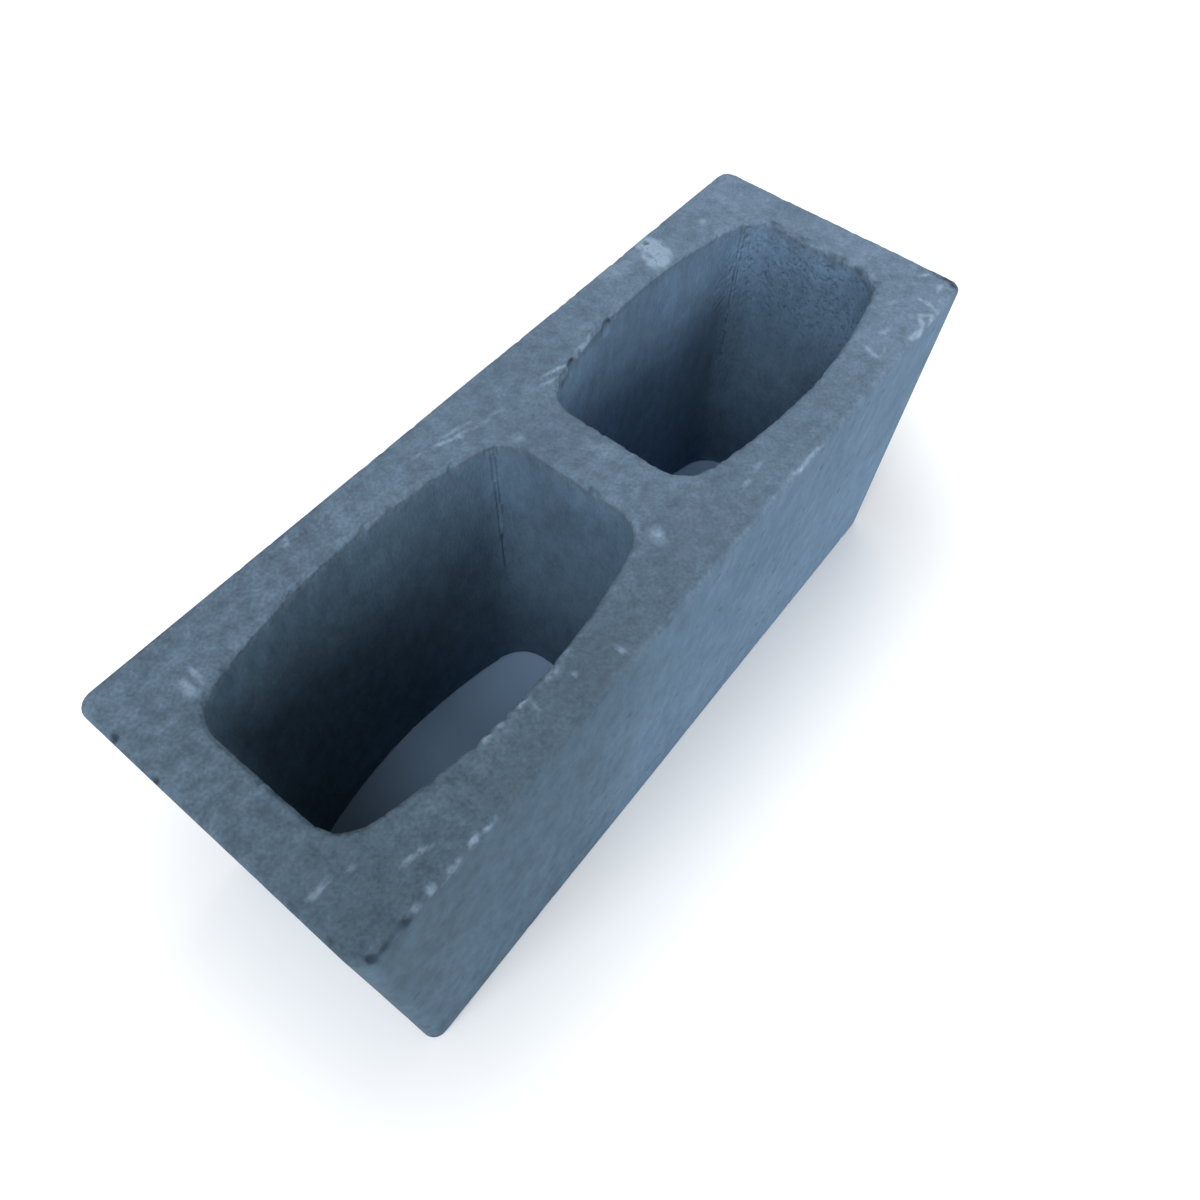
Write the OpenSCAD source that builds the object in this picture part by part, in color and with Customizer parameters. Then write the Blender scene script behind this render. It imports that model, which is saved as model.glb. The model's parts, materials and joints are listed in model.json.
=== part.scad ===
// Hollow concrete block: a masonry unit with two tapered cores, moulded in one piece.
// Millimetres, +Z up. The origin is the centre of the underside, and the length runs along X.

/* [Block] */
// Length from end face to end face
block_length = 400; // [300:1:500]
// Width over the two face shells
block_width = 140; // [120:1:200]
// Height from bed face to bed face
block_height = 190; // [90:1:240]
// Radius of the four upright outer corners
corner_radius = 7; // [3:0.5:15]
// Worn bevel along the edges of both bed faces, outside and round the cores
arris = 1.5; // [0.5:0.25:2.5]

/* [Walls at the top bed] */
// Face shell at its thinnest, beside the middle of a core
face_shell = 22.5; // [20:0.5:35]
// Web that closes each end
end_web = 23; // [18:0.5:35]
// Web between the two cores
middle_web = 28; // [18:0.5:40]

/* [Cores] */
// How far the long walls of a core bow outwards over its length
core_bow = 12; // [4:0.5:20]
// Radius of the upright corners of a core
core_corner_radius = 17; // [8:0.5:25]
// Draft of the core walls in degrees: the cores widen downwards
core_draft = 1; // [0.5:0.1:2]

/* [Hidden] */
// Plan size of a core at the top bed, where the walls round it are thickest
core_length = (block_length - 2 * end_web - middle_web) / 2;
core_width = block_width - 2 * face_shell;
// Distance of each core's axis from the middle of the block
core_offset = (core_length + middle_web) / 2;

// Arc of a bowed wall: its radius, and where its centre lies across the core
bow_radius = (pow(core_length / 2, 2) + pow(core_bow, 2)) / (2 * core_bow);
bow_centre_y = core_width / 2 - bow_radius;
// Centre of a corner's arc, which touches the end wall and the bowed wall
corner_x = core_length / 2 - core_corner_radius;
bow_start = acos(corner_x / (bow_radius - core_corner_radius));
corner_y = bow_centre_y + (bow_radius - core_corner_radius) * sin(bow_start);

// How far each side of a core has moved outwards at the bottom bed
draft_spread = block_height * tan(core_draft);

corner_steps = 6;
bow_steps = 12;
concrete_grey = [0.38, 0.46, 0.54];
$fn = 32;

// Points along an arc, without its first point
function arc(centre, radius, from, to, steps) = [
    for (i = [1 : steps])
        let (angle = from + (to - from) * i / steps)
            centre + radius * [cos(angle), sin(angle)]
];

// One long side of a core's plan, with the corner at each end of it
function core_side(spread) = let (
    corner = core_corner_radius + spread,
    bow = bow_radius + spread
) concat(
    [[corner_x + corner, corner_y]],
    arc([corner_x, corner_y], corner, 0, bow_start, corner_steps),
    arc([0, bow_centre_y], bow, bow_start, 180 - bow_start, bow_steps),
    arc([-corner_x, corner_y], corner, 180 - bow_start, 180, corner_steps)
);

// Barrel-shaped plan of a core at height z, with every wall moved outwards by spread
function core_ring(z, spread) = [
    for (half = [1, -1])
        for (point = core_side(spread))
            [half * point.x, half * point.y, z]
];

// Solid skinned over a stack of rings that have the same number of points
module loft(rings) {
    count = len(rings[0]);
    last = len(rings) - 1;
    bottom = [for (i = [0 : count - 1]) i];
    top = [for (i = [count - 1 : -1 : 0]) last * count + i];
    walls = [
        for (level = [0 : last - 1])
            for (i = [0 : count - 1])
                let (
                    here = level * count,
                    above = here + count,
                    next = (i + 1) % count
                ) [here + i, above + i, above + next, here + next]
    ];
    polyhedron(points = [for (ring = rings) each ring], faces = concat([bottom], walls, [top]));
}

// Plan of the block, with rounded corners, drawn in from its sides by inset
module block_plan(inset = 0) {
    straight_x = block_length - 2 * corner_radius;
    straight_y = block_width - 2 * corner_radius;
    square([block_length - 2 * inset, straight_y], center = true);
    square([straight_x, block_width - 2 * inset], center = true);
    for (x = [-1, 1], y = [-1, 1])
        translate([x * straight_x / 2, y * straight_y / 2])
            circle(corner_radius - inset);
}

// Outside of the block: upright faces, bevelled along the edges of both beds
module moulded_body() {
    hull() {
        translate([0, 0, arris])
            linear_extrude(block_height - 2 * arris)
                block_plan();
        linear_extrude(block_height)
            block_plan(inset = arris);
    }
}

// Void of one core: drafted walls, and a mouth at each bed that flares out through the bed face
module core_void() {
    draft_over_arris = arris * tan(core_draft);
    loft([
        core_ring(-arris, draft_spread - draft_over_arris + 2 * arris),
        core_ring(arris, draft_spread - draft_over_arris),
        core_ring(block_height - arris, draft_over_arris),
        core_ring(block_height + arris, draft_over_arris + 2 * arris)
    ]);
}

module concrete_block() {
    color(concrete_grey)
        difference() {
            moulded_body();
            for (side = [-1, 1])
                translate([side * core_offset, 0, 0])
                    core_void();
        }
}

concrete_block();
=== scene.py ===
# %% [markdown]
# A hollow concrete block
#
# The object is one piece of semi-dry concrete, pressed and vibrated in a steel mould. It has plain
# ends, rounded upright corners and two barrel-shaped cores that widen downwards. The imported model
# already has that form at its real size, so this lesson adds what the mould and the yard leave on
# it: worn edges, chips, open pores, sandy grain, dirt and pale scuffs.

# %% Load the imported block
import json
import math

import bpy
import numpy as np
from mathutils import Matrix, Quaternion, Vector, noise

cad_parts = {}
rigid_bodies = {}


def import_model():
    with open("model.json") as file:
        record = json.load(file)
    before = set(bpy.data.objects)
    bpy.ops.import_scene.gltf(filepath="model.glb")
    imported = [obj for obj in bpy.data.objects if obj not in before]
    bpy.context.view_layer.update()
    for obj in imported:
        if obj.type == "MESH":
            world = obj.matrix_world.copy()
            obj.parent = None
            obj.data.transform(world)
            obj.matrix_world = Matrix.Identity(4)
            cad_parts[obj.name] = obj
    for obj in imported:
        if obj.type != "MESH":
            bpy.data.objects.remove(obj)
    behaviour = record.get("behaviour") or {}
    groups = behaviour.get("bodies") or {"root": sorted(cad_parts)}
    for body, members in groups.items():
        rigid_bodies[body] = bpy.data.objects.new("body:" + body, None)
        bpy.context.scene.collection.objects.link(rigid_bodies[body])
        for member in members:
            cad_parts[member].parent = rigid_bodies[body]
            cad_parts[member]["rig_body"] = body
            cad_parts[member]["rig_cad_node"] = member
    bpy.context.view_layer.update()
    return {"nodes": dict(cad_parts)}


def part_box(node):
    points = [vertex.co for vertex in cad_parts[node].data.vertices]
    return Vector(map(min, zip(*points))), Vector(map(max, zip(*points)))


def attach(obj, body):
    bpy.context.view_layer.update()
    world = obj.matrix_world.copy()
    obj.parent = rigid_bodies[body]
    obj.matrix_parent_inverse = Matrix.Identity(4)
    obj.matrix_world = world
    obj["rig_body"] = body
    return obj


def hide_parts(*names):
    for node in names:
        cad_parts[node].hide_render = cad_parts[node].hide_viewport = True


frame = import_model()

MM = 0.001
cad_block = frame["nodes"]["concrete_block"]
low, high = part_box("concrete_block")
half_length, half_width, _ = (high - low) / 2
top_bed = high.z
HEIGHT_MM = round(top_bed / MM)
print("packed block:", [round(side / MM, 1) for side in high - low], "mm")

# %% [markdown]
# A copy to work on
#
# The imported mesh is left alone, because it is the record of the exact form. Its triangles are
# loose, so the copy is merged by distance before anything else is done to it.

# %% Copy the block's mesh and merge it


def select_only(piece):
    bpy.ops.object.select_all(action="DESELECT")
    piece.select_set(True)
    bpy.context.view_layer.objects.active = piece


def duplicate(piece, name):
    select_only(piece)
    bpy.ops.object.duplicate()
    copy = bpy.context.active_object
    copy.name = name
    bpy.ops.object.parent_clear(type="CLEAR_KEEP_TRANSFORM")
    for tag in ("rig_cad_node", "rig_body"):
        if tag in copy:
            del copy[tag]
    return copy


MERGE_DISTANCE = 0.01 * MM
block = duplicate(cad_block, "weathered_block")
block.data.materials.clear()
bpy.ops.object.mode_set(mode="EDIT")
bpy.ops.mesh.select_all(action="SELECT")
bpy.ops.mesh.remove_doubles(threshold=MERGE_DISTANCE)
bpy.ops.object.mode_set(mode="OBJECT")
print("working copy:", len(block.data.vertices), "points")

# %% [markdown]
# The arrises
#
# An arris is the edge where two faces meet. On a block the arrises wear first, so several steps
# below need to know how far a point is from one. The sharp edges of the copy are separated into a
# wire of their own, which measures that distance for the Vertex Weight Proximity modifier.

# %% Trace the arrises as a wire
SHARP_EDGE = math.radians(30)
bpy.ops.object.mode_set(mode="EDIT")
bpy.ops.mesh.select_mode(type="EDGE")
bpy.ops.mesh.select_all(action="DESELECT")
bpy.ops.mesh.edges_select_sharp(sharpness=SHARP_EDGE)
bpy.ops.mesh.duplicate()
bpy.ops.mesh.separate(type="SELECTED")
bpy.ops.object.mode_set(mode="OBJECT")
arris_wire = next(piece for piece in bpy.context.selected_objects if piece != block)
arris_wire.name = "arris_wire"
print("arris wire:", len(arris_wire.data.edges), "edges")

# %% [markdown]
# Chips
#
# Knocks in the yard break small shells out of the arrises. Each chip is cut as it happens, by a
# lump that bites into the edge: an icosphere, stretched along the edge and made lumpy, and taken
# away from the block with a Boolean modifier.

# %% Set out the chips
ALONG_X, ALONG_Y = 0.0, 90.0
# Centre of each chip, its reach along the edge, across it and down, and the edge's direction
CHIPS_MM = [
    ((-193.5, -70, 190), (2.6, 3.2, 3.0), ALONG_X),
    ((-186.0, -70, 190), (4.2, 2.6, 2.8), ALONG_X),
    ((-179.0, -70, 190), (2.4, 2.4, 2.6), ALONG_X),
    ((-169.0, -70, 190), (2.8, 2.2, 1.8), ALONG_X),
    ((-158.0, -70, 190), (3.2, 2.3, 1.8), ALONG_X),
    ((-148.0, -70, 190), (2.2, 2.0, 1.7), ALONG_X),
    ((-140.0, -70, 190), (3.0, 2.0, 1.7), ALONG_X),
    ((-74.0, -70, 190), (4.0, 1.9, 1.7), ALONG_X),
    ((22.0, -70, 190), (3.0, 1.8, 1.6), ALONG_X),
    ((112.0, -70, 190), (4.0, 1.9, 1.7), ALONG_X),
    ((153.0, -70, 190), (6.0, 2.1, 1.8), ALONG_X),
    ((-200.0, 48.6, 190), (1.9, 2.4, 2.6), ALONG_Y),
    ((-200.0, 26.2, 190), (1.7, 2.2, 2.4), ALONG_Y),
    ((-200.0, -54.5, 190), (3.0, 1.8, 1.8), ALONG_Y),
    ((200.0, 33.0, 190), (5.0, 1.8, 1.7), ALONG_Y),
    ((200.0, -8.0, 190), (4.0, 1.7, 1.7), ALONG_Y),
    ((200.0, -49.0, 190), (4.0, 1.9, 1.7), ALONG_Y),
    ((37.0, 41.8, 186), (2.8, 2.0, 4.5), 12.0),
    ((29.0, 39.6, 189), (4.5, 1.4, 2.2), 16.0),
    ((67.5, 46.3, 185), (3.0, 1.6, 4.0), 7.0),
    ((-13.8, -11.0, 189), (1.4, 2.6, 2.0), ALONG_X),
    ((-199.5, -69.5, 64), (2.2, 2.2, 5.0), ALONG_X),
    ((104.0, 70, 190), (5.0, 1.9, 1.7), ALONG_X),
    ((-62.0, 70, 190), (4.0, 1.8, 1.6), ALONG_X),
    ((-120.0, -70, 0), (6.0, 2.0, 2.2), ALONG_X),
    ((83.0, -70, 0), (4.0, 1.9, 1.9), ALONG_X),
    ((140.0, 70, 0), (6.0, 2.1, 2.1), ALONG_X),
    ((-30.0, 70, 0), (4.0, 1.9, 1.9), ALONG_X),
    ((200.0, -20.0, 0), (5.0, 2.1, 2.1), ALONG_Y),
    ((-200.0, 30.0, 0), (6.0, 2.1, 2.2), ALONG_Y),
]

bpy.ops.object.select_all(action="DESELECT")
bpy.ops.object.add(type="MESH")
chip_lumps = bpy.context.active_object
chip_lumps.name = "chip_lumps"
bpy.ops.object.mode_set(mode="EDIT")
for centre, reach, direction in CHIPS_MM:
    bpy.ops.mesh.primitive_ico_sphere_add(
        subdivisions=3,
        radius=1.0,
        location=Vector(centre) * MM,
        rotation=(0.0, 0.0, math.radians(direction)),
        scale=Vector(reach) * MM,
    )
bpy.ops.object.mode_set(mode="OBJECT")
print("chip lumps:", len(CHIPS_MM))

# %% Roughen the lumps


def clouds(name, feature_mm, deepest=0.0, untouched=1.0, depth=2):
    texture = bpy.data.textures.new(name, "CLOUDS")
    texture.noise_scale = feature_mm * MM
    texture.noise_depth = depth
    texture.use_color_ramp = True
    stops = ((deepest, 0.0), (untouched, 1.0))
    for stop, (position, level) in zip(texture.color_ramp.elements, stops):
        stop.position = position
        stop.color = (level, level, level, 1.0)
    return texture


def displace(piece, texture, height_mm, level, group=""):
    select_only(piece)
    modifier = piece.modifiers.new(texture.name, "DISPLACE")
    modifier.texture = texture
    modifier.texture_coords = "LOCAL"
    modifier.strength = height_mm * MM
    modifier.mid_level = level
    modifier.vertex_group = group
    bpy.ops.object.modifier_apply(modifier=modifier.name)


BOTH_WAYS, INWARD = 0.5, 1.0
LUMP_SIZE_MM, LUMP_HEIGHT_MM = 2.5, 0.9
displace(chip_lumps, clouds("broken face", LUMP_SIZE_MM), LUMP_HEIGHT_MM, BOTH_WAYS)
print("lumps roughened:", len(chip_lumps.data.vertices), "points")

# %% Cut the chips
select_only(block)
cut = block.modifiers.new("chips", "BOOLEAN")
cut.object = chip_lumps
cut.operation = "DIFFERENCE"
cut.solver = "EXACT"
cut.use_self = True
bpy.ops.object.modifier_apply(modifier=cut.name)
bpy.data.objects.remove(chip_lumps)
print("block with chips:", len(block.data.polygons), "faces")

# %% [markdown]
# Points to work with
#
# The block is remeshed with small, even voxels, like clay, so that its surface has points to move.
# Vertex groups then say where they may move. One falls off with the distance from an arris, and one
# takes from it the mouths of the cores. One grows with how open the concrete is: the mould's steel
# closes the outer faces, while the cores are pulled out of the wet mix and tear their walls, most of
# all high on the last wall of the far core. Two more hold the walls of the cores and the top bed.

# %% Remesh the block
VOXEL = 1.0 * MM
block.data.remesh_voxel_size = VOXEL
select_only(block)
bpy.ops.object.voxel_remesh()
print("remeshed:", len(block.data.polygons), "faces")

# %% Weigh the points near an arris
ARRIS_REACH = 4.0
group = block.vertex_groups.new(name="near_arris")
group.add(range(len(block.data.vertices)), 1.0, "REPLACE")
near = block.modifiers.new("near_arris", "VERTEX_WEIGHT_PROXIMITY")
near.vertex_group = group.name
near.target = arris_wire
near.proximity_mode = "GEOMETRY"
near.proximity_geometry = {"EDGE"}
near.min_dist = ARRIS_REACH * MM
near.max_dist = 0.0
bpy.ops.object.modifier_apply(modifier=near.name)
near_arris = np.array([vertex.groups[0].weight for vertex in block.data.vertices])
print("points within", ARRIS_REACH, "mm of an arris:", (near_arris > 0).sum())

# %% Say how open the concrete is


def points_mm(piece):
    points = np.empty(3 * len(piece.data.vertices))
    piece.data.vertices.foreach_get("co", points)
    return points.reshape(-1, 3) / MM


def ramp(value, start, end):
    share = np.clip((value - start) / (end - start), 0.0, 1.0)
    return share * share * (3.0 - 2.0 * share)


CORES_END_AT, CORES_SIDE_AT = 190, 62
BED_SKIN, TOP_SKIN = 1, 2


def in_core_plan(points):
    x, y, _ = points.T
    return (abs(x) < CORES_END_AT) & (abs(y) < CORES_SIDE_AT)


def in_a_core(points):
    z = points[:, 2]
    return in_core_plan(points) & (z > BED_SKIN) & (z < HEIGHT_MM - BED_SKIN)


# Openness is near 0 where steel closed the surface, and 1 where the core box tore it all over. On a
# wall it grows between two heights, and the last wall takes over between two places along the block
OPEN_FACE, OPEN_BED = 0.06, 0.22
WALL_LOW, WALL_HIGH, WALL_OPENS = 0.12, 0.22, (130, 165)
LAST_WALL_LOW, LAST_WALL_HIGH, LAST_WALL_OPENS = 0.3, 1.0, (115, 160)
LAST_WALL_FROM = (154, 172)


def openness(points):
    x, _, z = points.T
    wall = WALL_LOW + (WALL_HIGH - WALL_LOW) * ramp(z, *WALL_OPENS)
    last_wall = LAST_WALL_LOW + (LAST_WALL_HIGH - LAST_WALL_LOW) * ramp(z, *LAST_WALL_OPENS)
    in_core = wall + (last_wall - wall) * ramp(x, *LAST_WALL_FROM)
    outside = np.where(z > HEIGHT_MM - TOP_SKIN, OPEN_BED, OPEN_FACE)
    return np.where(in_a_core(points), in_core, outside)


points = points_mm(block)
torn = openness(points)
print("openness from", torn.min(), "to", round(torn.max(), 2))

# %% Weigh the torn walls, the mouths and the top bed
LEVELS = 10


def weigh(name, weights):
    group = block.vertex_groups.new(name=name)
    steps = np.rint(weights * LEVELS)
    for step in np.unique(steps[steps > 0]):
        group.add(np.flatnonzero(steps == step).tolist(), step / LEVELS, "REPLACE")
    print(name, "holds", (steps > 0).sum(), "of", len(steps), "points")


x, y, z = points.T
TORN = 0.25
weigh("open_concrete", np.where(torn > TORN, torn, 0.0))
MOUTHS_END_AT, MOUTHS_SIDE_AT, MOUTHS_ABOVE = 185, 56, 150
at_mouth = (abs(x) < MOUTHS_END_AT) & (abs(y) < MOUTHS_SIDE_AT) & (z > MOUTHS_ABOVE)
weigh("core_mouth", near_arris * at_mouth)
CLEAR_OF_BED = 5
below_mouth = (z > CLEAR_OF_BED) & (z < HEIGHT_MM - CLEAR_OF_BED)
weigh("core_walls", in_a_core(points) & below_mouth)
BED_DEPTH = 1.2
top_bed_points = z > top_bed / MM - BED_DEPTH
weigh("top_bed", top_bed_points)

# %% [markdown]
# Worn edges and uneven faces
#
# A Smooth modifier first rounds the arrises over, as handling does, and evens out the steps that the
# voxels leave on the walls of the cores. Then noise is pressed into the surface by Displace
# modifiers: a slow wave over the faces, because a mould wears, small nicks along the arrises, deeper
# ones where the core box tore the mouths, pores where the concrete is torn, and sand on the top bed.
# A colour ramp in each texture says which part of the noise sinks and which stays untouched, so that
# nicks and pores stay few. All of it goes inwards, so the block keeps its size.

# %% Round the arrises and even out the walls
SMOOTH_ROUNDS = {"near_arris": 2, "core_walls": 10}
select_only(block)
for name, rounds in SMOOTH_ROUNDS.items():
    soften = block.modifiers.new("soften " + name, "SMOOTH")
    soften.vertex_group = name
    soften.factor = 0.5
    soften.iterations = rounds
    bpy.ops.object.modifier_apply(modifier=soften.name)
    print(name, "smoothed", rounds, "times")

# %% Press in the wear
# Size of the noise and the stops of its ramp, its octaves, how deep it goes, and where
WEAR_MM = [
    ("mould wave", 110.0, (0.2, 0.8), 2, 0.3, ""),
    ("arris nicks", 6.0, (0.15, 0.42), 3, 0.45, "near_arris"),
    ("mouth nicks", 5.0, (0.15, 0.46), 2, 1.4, "core_mouth"),
    ("open pores", 2.0, (0.15, 0.42), 1, 1.0, "open_concrete"),
    ("sand", 2.0, (0.2, 0.7), 2, 0.3, "top_bed"),
]
for name, feature_mm, (deepest, untouched), octaves, depth_mm, where in WEAR_MM:
    displace(block, clouds(name, feature_mm, deepest, untouched, octaves), depth_mm, INWARD, where)
    print(name, "pressed in by up to", depth_mm, "mm")

# %% [markdown]
# A lighter mesh
#
# So many points are needed only where the surface is broken, or where fine marks will be painted on
# them. The top bed keeps its points, and so do the rounded corners high in the cores, where long thin
# triangles would catch the light. Elsewhere the Decimate operator thins them, most where the surface
# is flat, and smooth shading then hides the triangles.

# %% Thin the mesh
SHARE_LEFT = 0.12
CORNERS_ABOVE, CORNERS_BEYOND = 135, 22
WEB_CORNERS_BEFORE, END_CORNERS_BEYOND = 34, 156
by_a_cross_wall = (abs(x) < WEB_CORNERS_BEFORE) | (abs(x) > END_CORNERS_BEYOND)
in_a_corner = in_a_core(points) & by_a_cross_wall & (abs(y) > CORNERS_BEYOND) & (z > CORNERS_ABOVE)
kept_points = top_bed_points | in_a_corner
select_only(block)
bpy.ops.object.mode_set(mode="EDIT")
bpy.ops.mesh.select_mode(type="VERT")
bpy.ops.mesh.select_all(action="SELECT")
bpy.ops.mesh.quads_convert_to_tris()
bpy.ops.mesh.select_all(action="DESELECT")
bpy.ops.object.mode_set(mode="OBJECT")
block.data.vertices.foreach_set("select", ~kept_points)
bpy.ops.object.mode_set(mode="EDIT")
triangles_before = len(block.data.polygons)
bpy.ops.mesh.decimate(ratio=SHARE_LEFT)
bpy.ops.object.mode_set(mode="OBJECT")
bpy.ops.object.shade_smooth()
print("thinned:", triangles_before, "to", len(block.data.polygons), "triangles")

# %% [markdown]
# Marks at their places
#
# Stacking and sliding leave pale cement dust and scratches on the top bed, the yard leaves dark dirt,
# and painted shade darkens the near end and the depths of the cores. They are painted on the points as
# attributes, which the material reads later. Each mark is a soft ellipse, strongest in its middle.
# Slow noise first pushes the points about, so that no mark has a true ellipse for an edge, and finer
# noise makes it fainter and stronger along its length, as a mark on rough stone is.

# %% Get ready to paint
WANDER_MM, WANDER_SIZE_MM = 1.4, 6.0
# Vector noise starts from the clock unless it has a seed
WANDER_SEED = 7
noise.seed_set(WANDER_SEED)
points = points_mm(block)
pushes = [noise.noise_vector(Vector(point) / WANDER_SIZE_MM) for point in points]
wandering = points + WANDER_MM * np.array(pushes)
DASH_SIZE_MM = 3.5
DASH_MEAN, DASH_SWING = 0.75, 0.9
FAINTEST, STRONGEST = 0.2, 1.2
unevenness = np.array([noise.noise(Vector(point) / DASH_SIZE_MM) for point in points])
dashes = np.clip(DASH_MEAN + DASH_SWING * unevenness, FAINTEST, STRONGEST)
# Shares of a mark's reach
MARK_EDGE, MARK_FULL = 1.0, 0.3


def soft_marks(marks, depth_mm):
    mask = np.zeros(len(wandering))
    for (x_mm, y_mm), (along, wide), turn, strength in marks:
        offset = wandering - (x_mm, y_mm, top_bed / MM)
        cosine, sine = math.cos(math.radians(turn)), math.sin(math.radians(turn))
        lengthways = (offset[:, 0] * cosine + offset[:, 1] * sine) / along
        sideways = (offset[:, 1] * cosine - offset[:, 0] * sine) / wide
        distance = np.sqrt(lengthways**2 + sideways**2 + (offset[:, 2] / depth_mm) ** 2)
        mask = np.maximum(mask, strength * ramp(distance, MARK_EDGE, MARK_FULL))
    return np.minimum(mask * dashes, 1.0)


def paint(piece, name, mask):
    layer = piece.data.attributes.new(name, "FLOAT", "POINT")
    layer.data.foreach_set("value", mask.astype(np.float32))
    print(name, "painted on", (mask > 0.05).sum(), "points")


# %% Paint the walls of the cores and the moulded faces
# Spans over which a share grows from 0 to 1
BELOW_MOUTH, ABOVE_FOOT = (189, 181), (0.5, 6)
NEAR_SIDE, NEAR_END = (66.5, 69), (196.5, 199)
BELOW_ARRIS = (189.5, 186)
x, y, z = points.T
core_mask = in_core_plan(points) * ramp(z, *BELOW_MOUTH) * ramp(z, *ABOVE_FOOT)
outermost = np.maximum(ramp(abs(y), *NEAR_SIDE), ramp(abs(x), *NEAR_END))
face_mask = outermost * ramp(z, *BELOW_ARRIS)
paint(block, "core_wall", core_mask)
paint(block, "openness", openness(points))
paint(block, "moulded_face", face_mask)

# %% Paint how strongly the grain shows
# The far part was brushed cleaner, and steel and core box press the grain flat
BRUSHED, BRUSHED_FROM = 0.28, (-120, -10)
brushed = 1.0 - BRUSHED * ramp(x, *BRUSHED_FROM)
# Less of each grain in the cores, and less on the moulded faces
PRESSED = {"mottle": (0.25, 0.25), "sand": (0.40, 0.65)}
for name, (in_cores, on_faces) in PRESSED.items():
    paint(block, name, brushed * (1.0 - in_cores * core_mask - on_faces * face_mask))

# %% Paint the dirt
# Place on the top bed, reach along and across, direction in degrees, and strength
DIRT_MM = [
    ((-76, -61), (34, 14), 0, 0.5),
    ((-106, -64), (34, 12), 3, 0.4),
    ((-128, -65), (22, 9), 0, 0.4),
    # This mark only makes the near right corner darker
    ((-186, -48), (30, 40), 0, 0.3),
]
paint(block, "dirt", soft_marks(DIRT_MM, depth_mm=25))

# %% Paint the shade
# Painted shade, darkest at the near end and fading along the block
UNSHADED_AT, SHADED_AT, BULGE = 220, -175, 0.25
near_end_shade = np.clip((UNSHADED_AT - x) / (UNSHADED_AT - SHADED_AT), 0.0, 1.0)
near_end_shade = near_end_shade * (1.0 + BULGE - BULGE * near_end_shade)
near_core = core_mask * (x < 0)
far_core = core_mask * (x > 0)
# Less painted shade on the left shell there, but a band of it reaches as far as the middle web
LESS_SHADE_LEFT, TOWARDS_LEFT, AT_LEFT = 0.35, (-60, -10), (30, 60)
left_shell = (0.45 * ramp(y, *TOWARDS_LEFT) + 0.55 * ramp(y, *AT_LEFT)) * (1.0 - near_core)
BAND, BAND_ENDS, BAND_SIDE = 0.54, (100, 20), (15, 50)
band = BAND * ramp(x, *BAND_ENDS) * ramp(y, *BAND_SIDE)
# On the moulded faces it fades more suddenly, and near the floor painted light takes some of it away
SUDDEN, FADES = 0.3, (-20, -100)
sudden = SUDDEN * (ramp(x, *FADES) - near_end_shade) * outermost
FLOOR_LIGHT, FOOT = 0.1, (140, 60)
painted_floor_light = FLOOR_LIGHT * ramp(z, *FOOT) * outermost
painted_shade = np.maximum(near_end_shade * (1.0 - LESS_SHADE_LEFT * left_shell), band) + sudden - painted_floor_light
# Less painted shade on the left face and the web's wall, and in the far core only its last wall is
# shaded, more deeply lower down
LESS_SHADE_LEFT_FACE, LEFT_FACE, LEFT_FACE_TOP = 0.4, (68.0, 69.5), (189, 185)
LESS_SHADE_WEB, WEB_WALL = 0.15, (-40, -18)
left_face = ramp(y, *LEFT_FACE) * ramp(z, *LEFT_FACE_TOP)
web_wall = near_core * ramp(x, *WEB_WALL)
painted_shade = painted_shade * (1.0 - LESS_SHADE_LEFT_FACE * left_face) * (1.0 - LESS_SHADE_WEB * web_wall)
SHADE_HIGH, SHADE_DEEPER, DEEPER, LAST_WALL = 0.15, 0.45, (160, 122), (120, 165)
last_wall_shade = (SHADE_HIGH + SHADE_DEEPER * ramp(z, *DEEPER)) * ramp(x, *LAST_WALL)
painted_shade = painted_shade * (1.0 - far_core) + last_wall_shade * far_core
paint(block, "painted_shade", np.maximum(painted_shade, 0.0))

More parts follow.
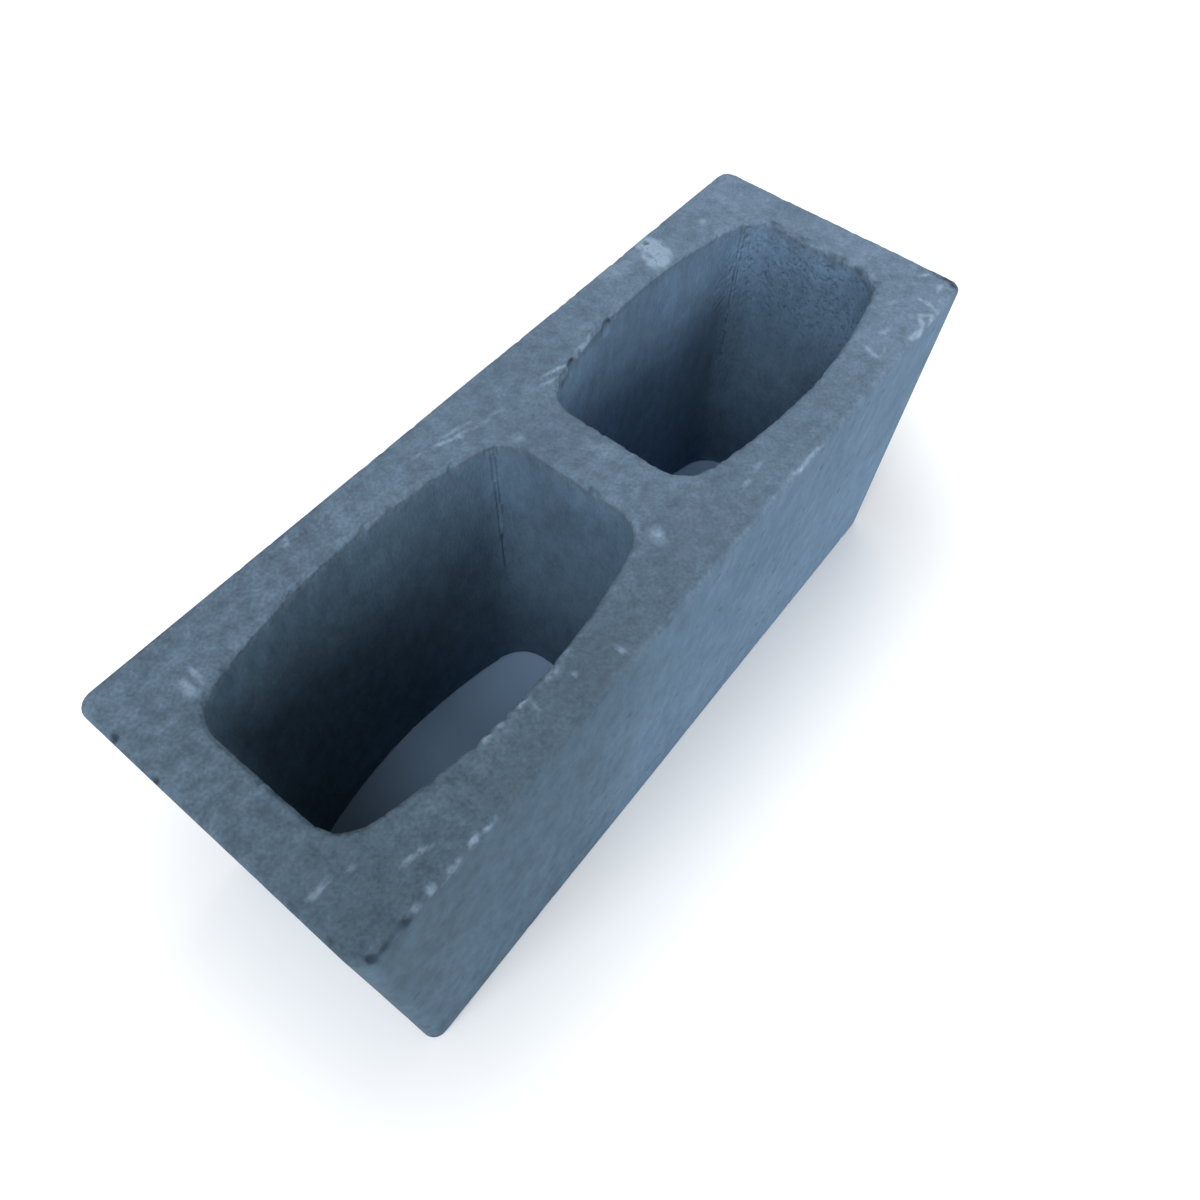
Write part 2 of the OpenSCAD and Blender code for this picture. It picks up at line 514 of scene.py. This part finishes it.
# %% Paint the scuffs
SCUFFS_MM = [
    ((119.5, 55.5), (11.0, 9.5), 30, 2.2),
    ((123.5, 63.0), (8.0, 8.0), 0, 2.0),
    ((98.0, 64.0), (12.0, 6.0), -10, 0.45),
    ((-32.9, 52.8), (24.0, 1.5), -14, 0.6),
    ((-25.0, 54.4), (12.0, 1.4), -18, 0.5),
    ((-27.7, 51.0), (3.0, 2.0), -50, 0.7),
    ((-8.0, 47.0), (11.0, 1.3), -8, 0.45),
    ((-11.4, 31.6), (6.0, 3.0), -11, 0.35),
    ((5.5, 0.3), (11.0, 6.0), -67, 0.25),
    ((28.8, 44.6), (12.0, 1.4), -17, 0.85),
    ((20.0, 42.2), (8.5, 1.4), -17, 0.8),
    ((49.0, 44.8), (11.5, 1.7), 12, 0.5),
    ((58.0, 51.0), (6.0, 4.0), 20, 0.3),
    ((156.0, 53.0), (3.6, 2.8), 0, 0.55),
    ((-108.0, 65.0), (3.4, 2.0), 60, 0.9),
    ((-171.5, 45.0), (7.0, 2.6), 90, 0.5),
    ((-166.5, 46.0), (6.5, 2.2), 80, 0.45),
    ((-163.0, -58.3), (8.0, 1.6), -14, 0.6),
    ((-15.0, -43.0), (7.0, 5.0), 60, 0.6),
    ((-16.5, -34.0), (4.5, 2.4), 70, 0.4),
    ((29.5, -56.0), (5.5, 1.7), 5, 0.5),
    ((40.0, -55.0), (6.0, 1.7), 5, 0.5),
    ((55.0, -68.6), (18.0, 1.6), -1.5, 0.75),
    ((130.0, -58.0), (8.5, 1.9), 75, 0.70),
    ((133.0, -62.0), (5.5, 1.7), 10, 0.63),
    ((145.9, -56.3), (4.8, 2.0), -2, 0.84),
    ((154.1, -68.0), (8.4, 2.3), -13, 1.33),
    ((162.4, -66.2), (6.4, 2.1), 37, 1.19),
    ((166.8, -69.6), (5.8, 1.8), 5, 1.05),
    ((168.4, -66.4), (5.6, 2.0), -53, 1.05),
    ((163.2, -60.6), (3.0, 1.8), 76, 0.70),
    ((165.2, -48.9), (5.8, 1.9), -27, 0.91),
    ((174.5, -69.1), (3.6, 1.7), 85, 0.98),
    ((175.7, -64.2), (4.4, 1.6), 69, 0.98),
    ((176.0, -58.8), (4.0, 1.6), -69, 0.84),
    ((181.5, -67.3), (4.0, 3.0), -14, 0.56),
    ((188.5, -62.4), (5.2, 1.9), 0, 1.05),
    ((184.8, -52.1), (2.8, 1.5), -49, 0.56),
    ((193.2, -51.5), (5.0, 1.6), -27, 0.91),
    ((194.6, -45.4), (3.2, 1.6), 63, 0.63),
    ((176.2, -33.2), (7.0, 1.7), 62, 0.77),
    ((-63.3, -62.9), (4.4, 1.9), -88, 0.5),
    ((-77.6, -48.8), (4.6, 1.8), 11, 0.45),
    ((-82.1, -55.6), (3.2, 1.5), 86, 0.4),
    ((-87.5, -50.1), (4.8, 1.8), 4, 0.5),
    ((-100.2, -53.7), (3.8, 1.4), 62, 0.35),
    ((-102.5, -49.7), (3.4, 1.6), -7, 0.5),
    ((-113.5, -48.6), (3.0, 2.0), -36, 0.65),
    ((-119.8, -48.2), (3.0, 1.7), 22, 0.5),
    ((-190.0, -42.2), (6.0, 1.5), -10, 0.45),
    ((-180.0, -44.0), (3.5, 1.4), -14, 0.35),
    ((-141.0, -69.4), (5.0, 1.6), 0, 0.55),
    ((-148.5, -69.2), (4.0, 1.6), 10, 0.5),
    ((-158.5, -69.4), (4.6, 1.9), -8, 0.6),
    ((-168.5, -69.2), (3.4, 2.2), 15, 0.55),
    ((-175.5, -69.4), (2.4, 1.5), 0, 0.45),
]
paint(block, "scuffs", soft_marks(SCUFFS_MM, depth_mm=5))

# %% Paint the shade in the chips and along the far mouth
# Painted shade: dark marks where chips and the torn far mouth hold shadow, and at the far right corner
PIT_SHADE_MM = [
    ((-194.5, -68.8), (3.4, 2.2), -30, 1.8),
    ((-188.5, -69.4), (5.0, 1.8), 5, 1.4),
    ((-181.0, -69.6), (5.0, 1.7), 0, 1.2),
    ((-198.6, 48.6), (2.4, 2.0), 90, 1.5),
    ((-198.8, 26.2), (2.2, 1.9), 90, 1.4),
    ((-198.8, -54.5), (4.0, 1.6), 90, 0.8),
    ((-198.8, -40.0), (4.0, 1.5), 90, 0.6),
    ((124.0, 65.0), (2.0, 1.8), 0, 1.3),
    ((37.0, 42.0), (4.0, 2.6), 12, 1.6),
    ((29.0, 39.8), (5.5, 1.8), 16, 0.8),
    ((67.5, 46.4), (4.5, 2.4), 7, 1.3),
    ((-12.8, -9.0), (3.0, 1.5), 90, 0.8),
    ((178.5, 24.0), (8.0, 2.4), 90, 0.55),
    ((178.5, 6.0), (9.0, 2.2), 90, 0.6),
    ((178.0, -12.0), (9.0, 2.4), 90, 0.6),
    ((177.5, -26.0), (7.0, 2.6), 92, 0.45),
    ((174.5, -36.0), (5.0, 2.4), 60, 0.45),
    ((197.0, -60.0), (12.0, 2.2), 87, 0.8),
    ((196.0, -66.0), (4.5, 3.0), 70, 0.8),
]
paint(block, "pit_shade", soft_marks(PIT_SHADE_MM, depth_mm=10))

# %% [markdown]
# Vibrated concrete: paste and sand
#
# The surface is sand and cement paste, with no polish at all: a matt blue-grey, mottled where the
# paste is richer or poorer, and speckled by sand grains about a millimetre across. The moulded faces
# have a paste of their own, a little bluer than the top bed's. The walls of the cores are a little
# bluer too, which is painted shade: the cool tint of the light deep in the cores. The mould is drawn
# off upwards, so the grain is a little drawn out that way. Colours are written as sRGB hex values,
# and one function turns them to the linear values that the shader works in. One more function adds a
# node with its settings and links.

# %% Mix the paste


def linear(hex_colour):
    channels = [int(hex_colour[i : i + 2], 16) / 255 for i in (1, 3, 5)]
    levels = [c / 12.92 if c <= 0.04045 else ((c + 0.055) / 1.055) ** 2.4 for c in channels]
    return (*levels, 1.0)


def add_node(tree, kind, inputs=None, output=0, **settings):
    node = tree.nodes.new("ShaderNode" + kind)
    for name, value in settings.items():
        setattr(node, name, value)
    for socket, value in (inputs or {}).items():
        if isinstance(value, bpy.types.NodeSocket):
            tree.links.new(value, node.inputs[socket])
        else:
            node.inputs[socket].default_value = value
    return node.outputs[output] if node.outputs else node


def per_mm(feature_mm):
    return 1.0 / (feature_mm * MM)


# A Mix node of colours has its colours in sockets 6 and 7, and its result in output 2
COLOUR_A, COLOUR_B, COLOUR_OUT = 6, 7, 2
PATCH_MM = 38
# Poor and rich paste on the beds and on the moulded faces, and in the cores with painted shade's
# cooler tint
PASTES = (("#687D93", "#768DA5"), ("#67839D", "#718DA8"), ("#67829D", "#7493B0"))

concrete = bpy.data.materials.new("vibrated_concrete")
concrete.use_nodes = True
tree = concrete.node_tree
tree.nodes.clear()
place = add_node(tree, "TexCoord", output="Object")
patches = add_node(
    tree,
    "TexNoise",
    {"Vector": place, "Scale": per_mm(PATCH_MM), "Detail": 4.0, "Roughness": 0.55},
    "Fac",
)
patch_share = add_node(tree, "MapRange", {"Value": patches, "From Min": 0.3, "From Max": 0.7})
mixed_pastes = []
for poor, rich in PASTES:
    paste = add_node(
        tree,
        "Mix",
        {"Factor": patch_share, COLOUR_A: linear(poor), COLOUR_B: linear(rich)},
        COLOUR_OUT,
        data_type="RGBA",
    )
    mixed_pastes.append(paste)
moulded_face = add_node(tree, "Attribute", output="Fac", attribute_name="moulded_face")
core_wall = add_node(tree, "Attribute", output="Fac", attribute_name="core_wall")
surface, face_paste, shade_tinted_core_paste = mixed_pastes
for share, paste in ((moulded_face, face_paste), (core_wall, shade_tinted_core_paste)):
    surface = add_node(
        tree,
        "Mix",
        {"Factor": share, COLOUR_A: surface, COLOUR_B: paste},
        COLOUR_OUT,
        data_type="RGBA",
    )
print("paste mixed:", len(tree.nodes), "nodes")

# %% Add the sand
MOTTLE_MM, SAND_MM = 6, 1.5
DRAWN_OUT = (1.0, 1.0, 0.5)
drawn_up = add_node(tree, "Mapping", {"Vector": place, "Scale": DRAWN_OUT})
mottle = add_node(
    tree, "TexNoise", {"Vector": drawn_up, "Scale": per_mm(MOTTLE_MM), "Detail": 3.0}, "Fac"
)
sand = add_node(
    tree,
    "TexNoise",
    {"Vector": drawn_up, "Scale": per_mm(SAND_MM), "Detail": 2.0, "Roughness": 0.6},
    "Fac",
)
for name, grain, contrast in (("mottle", mottle, 0.26), ("sand", sand, 0.18)):
    share = add_node(tree, "Attribute", output="Fac", attribute_name=name)
    darkest, palest = 1.0 - contrast, 1.0 + contrast
    tone = add_node(
        tree,
        "MapRange",
        {"Value": grain, "From Min": 0.25, "From Max": 0.75, "To Min": darkest, "To Max": palest},
    )
    surface = add_node(
        tree,
        "Mix",
        {"Factor": share, COLOUR_A: surface, COLOUR_B: tone},
        COLOUR_OUT,
        data_type="RGBA",
        blend_type="MULTIPLY",
    )
print("sand added:", len(tree.nodes), "nodes")

# %% [markdown]
# Painted shade, dirt and dust
#
# The painted attributes change the paste's colour. The painted shade darkens all colours alike, so it
# multiplies, while dirt and cement dust lie on top and cover. The grain breaks both up: dirt sticks to
# one kind of blotch and leaves the other bare, and dust lies thinner between the sand grains.

# %% Colour the painted places
# Painted shade: it multiplies, darkening all colours alike
painted_shade_share = add_node(tree, "Attribute", output="Fac", attribute_name="painted_shade")
surface = add_node(
    tree,
    "Mix",
    {"Factor": painted_shade_share, COLOUR_A: surface, COLOUR_B: linear("#A7ADAA")},
    COLOUR_OUT,
    data_type="RGBA",
    blend_type="MULTIPLY",
)
# Where the grain leaves it bare, where it is covered, the least that stays on, and the colour
COVERINGS = (
    ("dirt", mottle, 0.48, 0.58, 0.0, "#3F4A55"),
    ("scuffs", sand, 0.30, 0.50, 0.5, "#92A9C0"),
)
for name, grain, bare, covered, least, colour in COVERINGS:
    amount = add_node(tree, "Attribute", output="Fac", attribute_name=name)
    broken = add_node(
        tree, "MapRange", {"Value": grain, "From Min": bare, "From Max": covered, "To Min": least}
    )
    share = add_node(tree, "Math", {0: amount, 1: broken}, operation="MULTIPLY")
    surface = add_node(
        tree,
        "Mix",
        {"Factor": share, COLOUR_A: surface, COLOUR_B: linear(colour)},
        COLOUR_OUT,
        data_type="RGBA",
    )
print("places coloured:", len(tree.nodes), "nodes")

# %% [markdown]
# Painted shade in pores, air holes and chips
#
# Where sand and paste did not meet, the surface has open pores a millimetre or two across. Their dark
# is painted shade, laid on the lowest spots of a fine noise, so they are as ragged as real ones. The
# painted openness sets how low: many spots pass on the torn walls of the cores, and few on the moulded
# faces. Those have air holes instead, where bubbles were caught against the steel, painted dark the
# same way. The painted shade of the chips and the far mouth is as dark as both.

# %% Paint shade into the pores
PORE_MM, BUBBLE_MM = 1.6, 5.5
PORE_DARKNESS = 0.4
open_share = add_node(tree, "Attribute", output="Fac", attribute_name="openness")
holes = add_node(tree, "TexNoise", {"Vector": place, "Scale": per_mm(PORE_MM), "Detail": 1.0}, "Fac")
open_below = add_node(tree, "MapRange", {"Value": open_share, "To Min": 0.20, "To Max": 0.38})
sunk = add_node(tree, "Math", {0: open_below, 1: holes}, operation="SUBTRACT")
pores = add_node(
    tree, "MapRange", {"Value": sunk, "From Min": -0.02, "From Max": 0.06, "To Max": PORE_DARKNESS}
)
pit_shade = add_node(tree, "Attribute", output="Fac", attribute_name="pit_shade")
bubbles = add_node(
    tree, "TexNoise", {"Vector": place, "Scale": per_mm(BUBBLE_MM), "Detail": 1.0}, "Fac"
)
air_holes = add_node(
    tree, "MapRange", {"Value": bubbles, "From Min": 0.30, "From Max": 0.25, "To Max": PORE_DARKNESS}
)
air_holes = add_node(tree, "Math", {0: air_holes, 1: moulded_face}, operation="MULTIPLY")
# Painted shade of pores, air holes, chips and the far mouth
painted_hole_shade = add_node(tree, "Math", {0: pores, 1: pit_shade}, operation="MAXIMUM")
painted_hole_shade = add_node(tree, "Math", {0: painted_hole_shade, 1: air_holes}, operation="MAXIMUM")
surface = add_node(
    tree,
    "Mix",
    {"Factor": painted_hole_shade, COLOUR_A: surface, COLOUR_B: linear("#2E3C4A")},
    COLOUR_OUT,
    data_type="RGBA",
)
print("pores opened:", len(tree.nodes), "nodes")

# %% [markdown]
# Relief and shading
#
# Sand makes the surface matt: light falls on grains that face every way. The grains are finer than
# the mesh, so they are a bump, lower on the faces that the mould's steel pressed smooth. Roughness is
# close to 1, and only the weak highlight of a dry mineral is left.

# %% Shade the concrete
RELIEF_MM = 0.6
SANDY, PRESSED_SMOOTH = 0.5, 0.12
relief = add_node(
    tree, "MapRange", {"Value": moulded_face, "To Min": SANDY, "To Max": PRESSED_SMOOTH}
)
normal = add_node(tree, "Bump", {"Height": sand, "Strength": relief, "Distance": RELIEF_MM * MM})
shader = add_node(
    tree,
    "BsdfPrincipled",
    {"Base Color": surface, "Roughness": 0.94, "Specular IOR Level": 0.25, "Normal": normal},
)
add_node(tree, "OutputMaterial", {"Surface": shader})
block.data.materials.append(concrete)
print("material:", concrete.name, "with", len(tree.nodes), "nodes")

# %% [markdown]
# The block in the frame
#
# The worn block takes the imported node's place in the picture, and rides on the part's only body.

# %% Put the block in the frame
bpy.data.objects.remove(arris_wire)
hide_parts("concrete_block")
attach(block, "root")
print(block.name, "stands in for", cad_block.name)

# %% [markdown]
# The floor
#
# The block stands on a plain pale floor, a matt white that takes the block's shadow. For the camera
# alone the floor also shines a little, more further off, so that it reads as white, and less close
# to the block, which paints a soft shadow around it. Under the block, where the cores look down on
# it, it is painted shade: a dull blue-grey, darker towards the near end, and doesn't shine.

# %% Lay the floor
bpy.ops.object.select_all(action="DESELECT")
bpy.ops.mesh.primitive_plane_add(size=12.0, location=(0.0, 0.0, 0.0))
floor = bpy.context.active_object
floor.name = "studio_floor"
floor_paint = bpy.data.materials.new("matt_white_floor_paint")
floor_paint.use_nodes = True
tree = floor_paint.node_tree
tree.nodes.clear()
print("floor laid:", floor.name)

# %% Measure how far the floor is from the block
WELL_UNDER, CLEAR_OF_BLOCK = 20 * MM, 160 * MM
floor_place = add_node(tree, "TexCoord", output="Object")
from_middle = add_node(tree, "VectorMath", {0: floor_place}, operation="ABSOLUTE")
from_block = add_node(
    tree,
    "VectorMath",
    {0: from_middle, 1: (half_length - WELL_UNDER, half_width - WELL_UNDER, 0.0)},
    operation="SUBTRACT",
)
beside_block = add_node(
    tree, "VectorMath", {0: from_block, 1: (0.0, 0.0, 0.0)}, operation="MAXIMUM"
)
distance = add_node(tree, "VectorMath", {0: beside_block}, "Value", operation="LENGTH")
# Painted shadow: the shine fades out close to the block and is gone under it
outside_painted_shadow = add_node(
    tree,
    "MapRange",
    {"Value": distance, "From Min": WELL_UNDER, "From Max": CLEAR_OF_BLOCK},
    interpolation_type="SMOOTHSTEP",
)
under_block = add_node(tree, "Math", {0: distance, 1: 1.0 * MM}, operation="LESS_THAN")
print("floor measured:", len(tree.nodes), "nodes")

# %% Make the floor shine for the camera
NEARBY, FAR_OFF = 0.4, 1.5
SHINE_NEARBY, SHINE_FAR_OFF = 0.4, 0.62
shine = add_node(
    tree,
    "MapRange",
    {
        "Value": distance,
        "From Min": NEARBY,
        "From Max": FAR_OFF,
        "To Min": SHINE_NEARBY,
        "To Max": SHINE_FAR_OFF,
    },
)


def seen_by_camera(tree):
    rays = tree.nodes.new("ShaderNodeLightPath")
    seen = rays.outputs["Is Camera Ray"]
    for other in ("Is Glossy Ray", "Is Transmission Ray"):
        seen = add_node(tree, "Math", {0: seen, 1: rays.outputs[other]}, operation="MAXIMUM")
    return seen


for share in (outside_painted_shadow, seen_by_camera(tree)):
    shine = add_node(tree, "Math", {0: shine, 1: share}, operation="MULTIPLY")
print("floor shines:", SHINE_NEARBY, "nearby,", SHINE_FAR_OFF, "far off")

# %% Paint the floor
# Painted shade under the block: a dull blue-grey, darker towards the near end
DARK_BEFORE, PALER_BEYOND = -155 * MM, -95 * MM
along = add_node(tree, "SeparateXYZ", {"Vector": floor_place}, "X")
from_near_end = add_node(
    tree, "MapRange", {"Value": along, "From Min": DARK_BEFORE, "From Max": PALER_BEYOND}
)
shaded_colour = add_node(
    tree,
    "Mix",
    {"Factor": from_near_end, COLOUR_A: linear("#74899D"), COLOUR_B: linear("#B2D4F5")},
    COLOUR_OUT,
    data_type="RGBA",
)
floor_colour = add_node(
    tree,
    "Mix",
    {"Factor": under_block, COLOUR_A: linear("#F1F4F7"), COLOUR_B: shaded_colour},
    COLOUR_OUT,
    data_type="RGBA",
)
matt = add_node(tree, "BsdfDiffuse", {"Color": floor_colour})
glow = add_node(tree, "Emission", {"Color": linear("#FFFFFF"), "Strength": shine})
floor_shader = add_node(tree, "AddShader", {0: matt, 1: glow})
add_node(tree, "OutputMaterial", {"Surface": floor_shader})
floor.data.materials.append(floor_paint)
print("floor painted:", floor_paint.name)

# %% [markdown]
# Light
#
# Concrete looks right in soft light without hard shadows: an even sky, a large lamp over the near
# end, another from the right, and a weak one over the far end. A small lamp shines steeply into the
# cores, so that their floor shows.

# %% Light the studio
SKY_LEVEL, SEEN_AS_WHITE = 0.46, 1.0
world = bpy.data.worlds.new("studio")
bpy.context.scene.world = world
world.use_nodes = True
tree = world.node_tree
tree.nodes.clear()
level = add_node(
    tree,
    "MapRange",
    {"Value": seen_by_camera(tree), "To Min": SKY_LEVEL, "To Max": SEEN_AS_WHITE},
)
sky = add_node(tree, "Background", {"Color": (1.0, 1.0, 1.0, 1.0), "Strength": level})
add_node(tree, "OutputWorld", {"Surface": sky})

LAMP_TARGET = Vector((0.0, 0.0, 0.12))


def soft_box(name, place, size, power):
    bpy.ops.object.light_add(type="AREA", location=place)
    lamp = bpy.context.active_object
    lamp.name = name
    lamp.data.shape = "DISK"
    lamp.data.size = size
    lamp.data.energy = power
    lamp.rotation_euler = (LAMP_TARGET - Vector(place)).to_track_quat("-Z", "Y").to_euler()
    print(name, power, "W")


soft_box("key_over_the_near_end", place=(-0.9, -0.1, 0.9), size=0.6, power=6.3)
soft_box("fill_from_the_right", place=(-0.35, -1.0, 0.6), size=0.6, power=4.7)
soft_box("light_over_the_far_end", place=(0.45, 0.1, 0.75), size=0.5, power=0.9)
soft_box("light_into_the_cores", place=(-0.46, 0.0, 1.25), size=0.28, power=0.8)

# %% [markdown]
# Camera
#
# The camera looks down on the near end from close by, with a wide lens and a slight roll. Its place
# and lens were worked out from the block's straight edges in the photo.

# %% Place the camera
EYE_MM = Vector((-198.0, -146.5, 480.7))
AIM_MM = Vector((-52.3, -44.3, 190.0))
ROLL = math.radians(3.71)
LENS_MM, SENSOR_MM = 27.42, 36.0
bpy.ops.object.camera_add(location=EYE_MM * MM)
camera = bpy.context.active_object
camera.data.sensor_width = SENSOR_MM
camera.data.lens = LENS_MM
camera.data.clip_start = 0.01
level_view = (AIM_MM - EYE_MM).to_track_quat("-Z", "Y")
camera.rotation_mode = "QUATERNION"
camera.rotation_quaternion = level_view @ Quaternion((0.0, 0.0, 1.0), ROLL)
bpy.context.scene.camera = camera
bpy.context.scene.view_settings.view_transform = "Standard"
print("camera at", [round(v) for v in EYE_MM], "mm")

# %% [markdown]
# Finish
#
# The view layer is brought up to date.

# %% Finish
bpy.context.view_layer.update()
